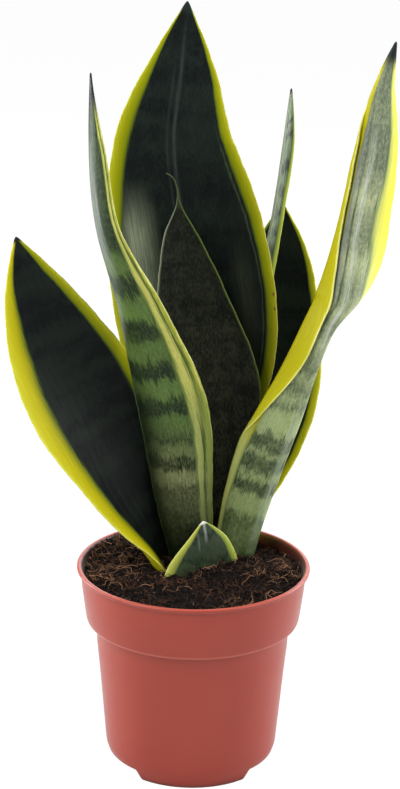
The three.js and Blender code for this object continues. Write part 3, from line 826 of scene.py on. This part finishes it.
def leaf_material(name, length, look):
    """The finish of one leaf: two faces with bands, painted sheen and painted shade, two margins, its tip and
    its marks.
    """
    material, wire = new_material(name + "_skin")
    place = wire.get("ShaderNodeAttribute", out="Vector", attribute_name="blade")
    border = wire.get("ShaderNodeAttribute", out="Vector", attribute_name="border")
    across, far, side = wire.parts(place)
    left, right, rise = wire.parts(border)
    along = wire.effect(leaf_jags, Place=place, Jag=look["jag"], Sway=look["sway"])
    loose = wire.effect(leaf_bands, Place=place, Along=along, Spacing=look["spacing"])
    fine = wire.effect(leaf_lines, Place=place, Pitch=0.45, Run=14)
    broad = wire.effect(leaf_lines, Place=place, Pitch=3.2, Run=150)
    flecks = wire.cloud(wire.vectors("MULTIPLY", place, (0.9, 0.4, 5)), 1, 4, 0.7)
    patches = wire.cloud(wire.vectors("MULTIPLY", place, (0.16, 0.1, 3)), 1, 2, 0.5)
    on_upper = wire.step(side, -0.2, 0.2)
    height_share = wire.step(rise, *look["turn_span"])

    faces = []
    for half in ("under", "upper"):
        dark_low, light_low, dark_high, light_high = look[half]
        band = loose
        if half + "_bands" in look:
            band = wire.ramp(wire.maths("DIVIDE", along, length), look[half + "_bands"])
            band = wire.mix(0.12, band, loose)
        if look["flecked"]:
            specks = wire.step(wire.maths("MULTIPLY_ADD", patches, 0.5, flecks), 0.68, 0.86)
            band = wire.mix(look["flecked"], band, specks)
        else:
            band = wire.shaken(band, flecks, 1.6, clamp=True)
        dark = wire.mix(height_share, dark_low, dark_high)
        light = wire.mix(height_share, light_low, light_high)
        face = wire.mix(wire.times(fine, 0.3), wire.mix(band, dark, light), dark)
        faces.append(wire.mix(wire.times(broad, 0.08), face, light))
    colour = wire.mix(on_upper, *faces)

    sheen_and_shade_side = on_upper if look["sheen_and_shade_face"] == "upper" else wire.maths("SUBTRACT", 1, on_upper)
    # Painted sheen and painted shade: light stripes where light glances off the face, dark ones where it lies
    # in shade
    for least, middle, width, sheen_and_shade_colour, strength, low, high in look["sheen_and_shade_stripes"]:
        near = wire.step(wire.apart(across, middle), width, 0)
        near = wire.times(wire.times(near, wire.between(rise, low, high, 0.12)), strength)
        near = wire.times(near, wire.step(fine, 0, 1, 1, least))
        colour = wire.mix(wire.times(near, sheen_and_shade_side), colour, sheen_and_shade_colour)
    # Painted shade: the face grows darker towards the leaf's base, where it lies in shade.
    if "painted_base_shade" in look:
        high, shade = look["painted_base_shade"]
        colour = wire.mix(wire.step(wire.shaken(rise, patches, 0.1), high, 0), colour, shade)

    for key, edge in (("left", left), ("right", right)):
        frayed = wire.shaken(edge, fine, look["fray"])
        uneven = wire.shaken(edge, fine, look["uneven"])
        band = wire.ramp(uneven, look[key])
        if key + "_low" in look:
            below = wire.ramp(uneven, look[key + "_low"])
            band = wire.mix(wire.step(rise, *look["low_span"]), below, band)
        band = wire.mix(wire.times(fine, 0.14), band, (110, 125, 30))
        if "margin_flecks" in look:
            specks = wire.times(wire.step(flecks, 0.5, 0.72), look["margin_flecks"])
            band = wire.mix(specks, band, (96, 112, 56))
        inside = wire.step(frayed, 0.9, 1.06, 1, 0)
        if key + "_fade" in look:
            low, high, least = look[key + "_fade"]
            inside = wire.times(inside, wire.step(rise, low, high, least, 1))
        colour = wire.mix(inside, colour, band)
        if key + "_line" in look:
            middle, width, line, strength, low, high = look[key + "_line"]
            near = wire.times(wire.step(wire.apart(frayed, middle), width, width * 0.3), strength)
            colour = wire.mix(wire.times(near, wire.between(rise, low, high, 0.1)), colour, line)

    tip_size, tip_colour = look["tip"]
    colour = wire.mix(wire.step(far, length - tip_size, length - tip_size * 0.4), colour, tip_colour)
    flat = wire.vectors("MULTIPLY", place, (1, 0.5, 0))
    for mark_across, mark_along, size, mark in look["marks"]:
        away = wire.vectors("DISTANCE", flat, (mark_across, mark_along * 0.5, 0))
        colour = wire.mix(wire.step(away, size, size * 0.4), colour, mark)

    ridges = wire.bump(wire.maths("MULTIPLY_ADD", fine, 0.5, broad), 0.1 * MM, 0.6)
    gloss = wire.step(fine, 0, 1, look["gloss"], look["gloss"] + 0.1)
    wire.finish(colour, gloss, ridges, look["shine"])
    return material


def blade_mesh(name, seed, look):
    """One leaf as a closed mesh with its places on the blade kept as attributes for the material."""
    rows = leaf_rows[name]
    keeled = name == "leaf_right"
    length = float(np.linalg.norm(np.diff(np.array(rows)[:, :3], axis=0), axis=1).sum())
    count = int(max(18, min(62, max(row[3] for row in rows) / line_spacing)))
    tip_shares = 1 - np.array(tip_rings) / length
    shares = np.concatenate([np.linspace(0, tip_shares[0], int(length / ring_spacing)), tip_shares[1:]])
    middle = along_rows(rows, shares)
    tangent = along_rows(rows, shares + 0.001)[:, :3] - along_rows(rows, shares - 0.001)[:, :3]
    tangent /= np.linalg.norm(tangent, axis=1)[:, None]
    face = np.radians(middle[:, 4])
    normal = np.stack([np.sin(face), -np.cos(face), 0 * face], 1)
    normal -= (normal * tangent).sum(1)[:, None] * tangent
    normal /= np.linalg.norm(normal, axis=1)[:, None]
    width_way = np.cross(tangent, normal)
    centre_thickness = np.interp(shares, *zip(*look["thick"]))
    margins = np.array(leaf_margins[name], float)
    back = slice(-2, 0, -1)  # the under side's points run back between the two edges
    points, blade, border = [], [], []
    for i, share in enumerate(shares):
        half = max(middle[i, 3], 0.5) / 2
        hem = middle[i, 6] if keeled else 0
        columns = blade_columns(half, hem, keeled, count)
        section = blade_section(columns, half, math.radians(middle[i, 5]), hem, keeled)
        to_tip = (1 - share) * length
        rounding = math.sqrt(max(0.0, 1 - max(0.0, 1 - to_tip / tip_rounding) ** 2))
        along = share * length
        waves = np.where(columns < 0, ripple(along, seed, 23), ripple(along, seed + 9, 19))
        swell = 1 + edge_swell * waves * np.abs(columns) ** 3 / max(half, 6) * min(1, to_tip / 12)
        edge = min(edge_thickness, centre_thickness[i])
        thick = edge + (centre_thickness[i] - edge) * (1 - columns ** 2)
        thick = np.minimum(thick, max(0.5, 2 * half)) / 2
        from_edge = (1 - np.abs(columns)) * half
        inset = np.clip(1 - from_edge / (edge / 2), 0, 1)
        thick = thick * np.sqrt(1 - inset ** 2)
        flute_turn = columns * half * 2 * math.pi / flute_pitch + 0.8 * ripple(along, seed + 4, 90)
        flutes = flute_depth * np.sin(flute_turn) * np.clip(from_edge / 3, 0, 1) * min(1, to_tip / 25)
        reach = half * max(rounding, 0.02)
        place = middle[i, :3] + (section[0] * reach * swell)[:, None] * width_way[i]
        place = place + (section[1] * reach)[:, None] * normal[i]
        out = np.cos(section[2])[:, None] * normal[i] - np.sin(section[2])[:, None] * width_way[i]
        deep = ((thick + np.where(thick > 0.2, flutes, 0)) * rounding)[:, None]
        points += [place + out * deep, (place - out * (thick * rounding)[:, None])[back]]
        left, right = (np.interp(share, margins[:, 0], margins[:, k]) for k in (1, 2))
        level = 0 * columns
        face_up = np.where(np.abs(columns) < 1, 1, 0)
        marks = np.stack([columns * half, level + along, face_up], 1)
        blade += [marks, marks[back] * (1, 1, -1)]
        marks = np.stack([(1 + columns) * half / left, (1 - columns) * half / right, level + share], 1)
        border += [marks, marks[back]]
    loop = 2 * len(columns) - 2
    last = (len(shares) - 1) * loop
    faces = [tuple(reversed(range(loop))), tuple(range(last, last + loop))]
    for side in range(loop):
        faces += strip(0, len(shares), loop, side)
    skin = leaf_material(name, length, look)
    piece = piece_from(name.replace("leaf", "blade"), np.concatenate(points), faces, skin, 75)
    for label, values in (("blade", np.concatenate(blade)), ("border", np.concatenate(border))):
        attribute = piece.data.attributes.new(label, "FLOAT_VECTOR", "POINT")
        attribute.data.foreach_set("vector", values.astype(np.float32).ravel())
    return piece


# What a leaf has where its own look says nothing else. Lengths are in millimetres.
usual_look = {
    # How thick the blade is along its middle: share of the length, thickness
    "thick": ((0, 7), (0.4, 3.6), (1, 1)),
    # The dark and the light bands' colour low on a face, then high on it, and where that changes
    "upper": ((9, 13, 12), (20, 26, 18), (11, 15, 16), (25, 33, 27)),
    "under": ((38, 56, 36), (98, 122, 72), (44, 62, 46), (92, 116, 76)),
    "turn_span": (0, 1),
    # How jagged and how wavy the bands are, how far apart, and the share of a mottled net over them
    "jag": 14, "sway": 12, "spacing": 9, "flecked": 0,
    # Painted sheen and painted shade, as stripes along a face: least share on a fine line, place across, half
    # width, colour, strength, lowest, highest
    "sheen_and_shade_face": "under", "sheen_and_shade_stripes": (),
    # How much the fine lines shift a margin's inner side and its colours, as shares of its width
    "fray": 0.16, "uneven": 0.05,
    # The tip's length and colour, and marks: place across, place along, size, colour
    "tip": (4, (40, 34, 26)), "marks": (),
    "gloss": 0.36, "shine": 0.1,
}
# A margin's colours run from the edge inwards. It may have others low on the leaf, a fade (low, high,
# least share) and a line (middle, half width, colour, strength, lowest, highest). Bands set one by
# one are shares of the length, with 0 for the dark ones and 1 for the light ones.
yellow_left = [
    (0, 222, 220, 96), (0.05, 212, 204, 44), (0.25, 204, 194, 22), (0.55, 188, 178, 6),
    (0.72, 160, 154, 8), (0.86, 110, 118, 22), (0.94, 58, 74, 20), (1, 22, 32, 18),
]
olive_edge = [
    (0, 204, 202, 96), (0.08, 174, 172, 30), (0.4, 146, 148, 0), (0.7, 122, 128, 0),
    (0.85, 86, 98, 10), (0.94, 48, 62, 22), (1, 24, 34, 20),
]

leaf_looks = {
    "leaf_front_small": {
        "thick": ((0, 4.5), (0.5, 3.2), (1, 1)),
        "upper": ((24, 34, 22), (50, 66, 40), (30, 38, 30), (58, 70, 54)),
        "under": ((26, 38, 22), (66, 84, 50), (34, 42, 34), (64, 76, 60)),
        "left": [(0, 196, 202, 108), (0.3, 164, 176, 74), (0.7, 126, 144, 56), (1, 66, 84, 44)],
        "right": [(0, 206, 208, 110), (0.4, 178, 182, 78), (0.85, 128, 138, 60), (1, 70, 86, 52)],
        "spacing": 7, "tip": (2.2, (226, 228, 216)), "shine": 0.12, "painted_base_shade": (0.35, (22, 32, 20)),
        "sheen_and_shade_stripes": (
            (0.2, 0, 1.2, (190, 198, 190), 0.7, 0.7, 1.1), (0.3, 4, 1, (150, 160, 148), 0.4, 0.6, 0.95),
        ),
    },
    "leaf_left": {
        "thick": ((0, 7), (0.4, 4), (1, 1)),
        "left": yellow_left, "right": olive_edge, "spacing": 8, "marks": ((-28.5, 149, 0.9, (120, 90, 40)),),
    },
    "leaf_centre": {
        "under": ((26, 37, 19), (166, 172, 118), (24, 36, 24), (92, 116, 58)), "turn_span": (0.22, 0.36),
        "under_bands": (
            (0, 0.05), (0.14, 0.1), (0.165, 0.3), (0.2, 0.35), (0.222, 0.3), (0.232, 1), (0.252, 0.95),
            (0.262, 0), (0.285, 0.1), (0.292, 0.8), (0.31, 0.7), (0.32, 0.05), (0.345, 0.85), (0.368, 0.8),
            (0.376, 0), (0.398, 0), (0.408, 0.95), (0.438, 0.9), (0.448, 0), (0.473, 0.1), (0.482, 0.9),
            (0.51, 0.8), (0.52, 0.05), (0.55, 0.05), (0.562, 1), (0.6, 0.85), (0.61, 0.05), (0.64, 0),
            (0.65, 0.8), (0.68, 0.7), (0.7, 0.1), (1, 0.2),
        ),
        "left": [
            (0, 222, 222, 150), (0.05, 186, 184, 80), (0.2, 150, 156, 58), (0.28, 88, 102, 40),
            (0.34, 52, 68, 30), (0.42, 120, 128, 60), (0.5, 190, 188, 100), (0.72, 184, 182, 94),
            (0.86, 120, 132, 64), (1, 60, 78, 38),
        ],
        "left_low": [
            (0, 158, 166, 80), (0.06, 104, 120, 50), (0.3, 124, 136, 62), (0.42, 116, 130, 62),
            (0.48, 52, 70, 34), (0.58, 58, 76, 38), (0.64, 146, 154, 86), (0.84, 156, 162, 92),
            (0.93, 92, 108, 58), (1, 60, 80, 44),
        ],
        "low_span": (0.3, 0.46), "left_fade": (0.12, 0.3, 0.35), "uneven": 0.14, "margin_flecks": 0.5,
        "painted_base_shade": (0.42, (13, 24, 11)),
        # Painted shade: low on the leaf the right margin is painted as dark as the shaded face.
        "right_low": [(0, 40, 52, 34), (0.5, 34, 46, 28), (1, 26, 36, 22)],
        "right": [(0, 116, 128, 104), (0.5, 70, 84, 60), (1, 36, 50, 32)],
        "sheen_and_shade_stripes": (
            (0.4, 0.5, 7, (140, 150, 138), 0.8, 0.6, 0.94), (0.5, -4, 2.2, (176, 184, 180), 0.5, 0.66, 0.86),
            (0.9, 18, 18, (14, 20, 13), 1, -0.15, 0.5),
        ),
        "tip": (24, (30, 36, 38)), "jag": 20, "shine": 0.12,
    },
    "leaf_tall": {
        "upper": ((9, 13, 12), (22, 30, 18), (12, 17, 17), (30, 38, 32)),
        "left": olive_edge, "right": olive_edge, "spacing": 10,
        "tip": (7, (34, 42, 42)), "flecked": 0.5, "sheen_and_shade_face": "upper",
        "right_line": (1.2, 0.1, (66, 78, 52), 0.6, 0.2, 0.82), "fray": 0.1,
        "sheen_and_shade_stripes": (
            (0.5, 0, 1.6, (62, 67, 66), 0.6, 0.55, 1), (0.5, -3.6, 1.2, (48, 53, 52), 0.5, 0.5, 0.95),
            (0.6, -25, 14, (136, 144, 118), 0.95, 0.2, 0.72), (0.6, 27, 9, (50, 56, 42), 0.8, 0.15, 0.62),
        ),
        "marks": ((41.6, 150, 0.7, (120, 74, 44)), (41.6, 143, 0.6, (120, 74, 44))),
    },
    "leaf_inner": {
        "thick": ((0, 5), (0.4, 3.2), (0.87, 1.2), (1, 0.9)),
        "upper": ((15, 17, 13), (66, 68, 46), (17, 20, 17), (44, 48, 37)),
        "spacing": 7, "jag": 9, "sway": 10, "flecked": 0.75,
        "left": [(0, 150, 156, 138), (0.5, 96, 104, 80), (1, 34, 40, 28)],
        "right": [(0, 96, 110, 52), (0.5, 66, 80, 36), (1, 30, 36, 24)],
        "tip": (24, (74, 86, 50)), "shine": 0.12, "gloss": 0.42,
    },
    "leaf_right": {
        "thick": ((0, 4.5), (0.4, 3.2), (1, 1)),
        "under": ((38, 54, 30), (146, 164, 104), (92, 104, 86), (206, 212, 164)),
        "under_bands": (
            (0, 0.3), (0.1, 0.6), (0.118, 0.2), (0.13, 0.2), (0.142, 1), (0.172, 1), (0.18, 0),
            (0.198, 0.05), (0.206, 0.85), (0.217, 0.75), (0.226, 0), (0.248, 0.05), (0.256, 0.85),
            (0.268, 0.1), (0.29, 0.1), (0.3, 1), (0.338, 1), (0.35, 0.2), (0.37, 0.7), (0.385, 0.1),
            (0.41, 0.75), (0.43, 0.2), (0.47, 0.8), (0.5, 0.2), (0.54, 0.75), (0.58, 0.3), (0.63, 0.8),
            (0.68, 0.25), (0.74, 0.75), (0.8, 0.1),
        ),
        "left": [
            (0, 255, 246, 84), (0.3, 252, 240, 84), (0.55, 232, 228, 96), (0.76, 196, 204, 112),
            (0.92, 122, 140, 84), (1, 78, 98, 64),
        ],
        "right": [
            (0, 236, 235, 148), (0.05, 228, 226, 96), (0.1, 190, 182, 22), (0.5, 182, 173, 4),
            (0.85, 174, 165, 4), (1, 122, 126, 22),
        ],
        "right_low": [
            (0, 150, 168, 64), (0.15, 198, 202, 112), (0.6, 192, 196, 116), (0.88, 130, 148, 74),
            (1, 72, 94, 50),
        ],
        "low_span": (0.24, 0.33), "tip": (16, (34, 40, 40)), "jag": 18, "shine": 0.16, "fray": 0.3,
        "painted_base_shade": (0.14, (44, 62, 34)),
        "sheen_and_shade_stripes": (
            (0.45, 8.5, 6, (112, 116, 122), 0.9, 0.42, 0.97), (0.3, 0.6, 1.8, (204, 210, 198), 0.7, 0.4, 0.9),
            (0.2, 3.6, 1.2, (36, 50, 42), 0.9, 0.36, 0.98), (0.4, 1.5, 2.6, (166, 180, 156), 0.6, 0.02, 0.42),
        ),
    },
    "leaf_narrow": {
        "thick": ((0, 4), (0.4, 2.6), (1, 1)),
        "upper": ((18, 30, 18), (62, 86, 40), (14, 26, 18), (98, 116, 82)),
        "spacing": 6, "jag": 12, "shine": 0.25,
        "left": [(0, 158, 168, 148), (0.35, 96, 112, 84), (1, 34, 50, 28)],
        "right": [(0, 182, 192, 70), (0.5, 146, 160, 46), (0.9, 78, 98, 38), (1, 40, 58, 30)],
    },
    "leaf_back_right": {
        "thick": ((0, 4), (0.4, 3.4), (1, 1)),
        "spacing": 8,
        "left": [(0, 172, 180, 56), (0.6, 126, 138, 26), (1, 26, 38, 18)],
        "right": [(0, 206, 204, 74), (0.2, 186, 184, 36), (0.7, 148, 152, 22), (1, 36, 50, 20)],
    },
}

for seed, name in enumerate(leaf_rows):
    leaf = blade_mesh(name, seed, {**usual_look, **leaf_looks[name]})
    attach(leaf, "root")
    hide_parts(name)
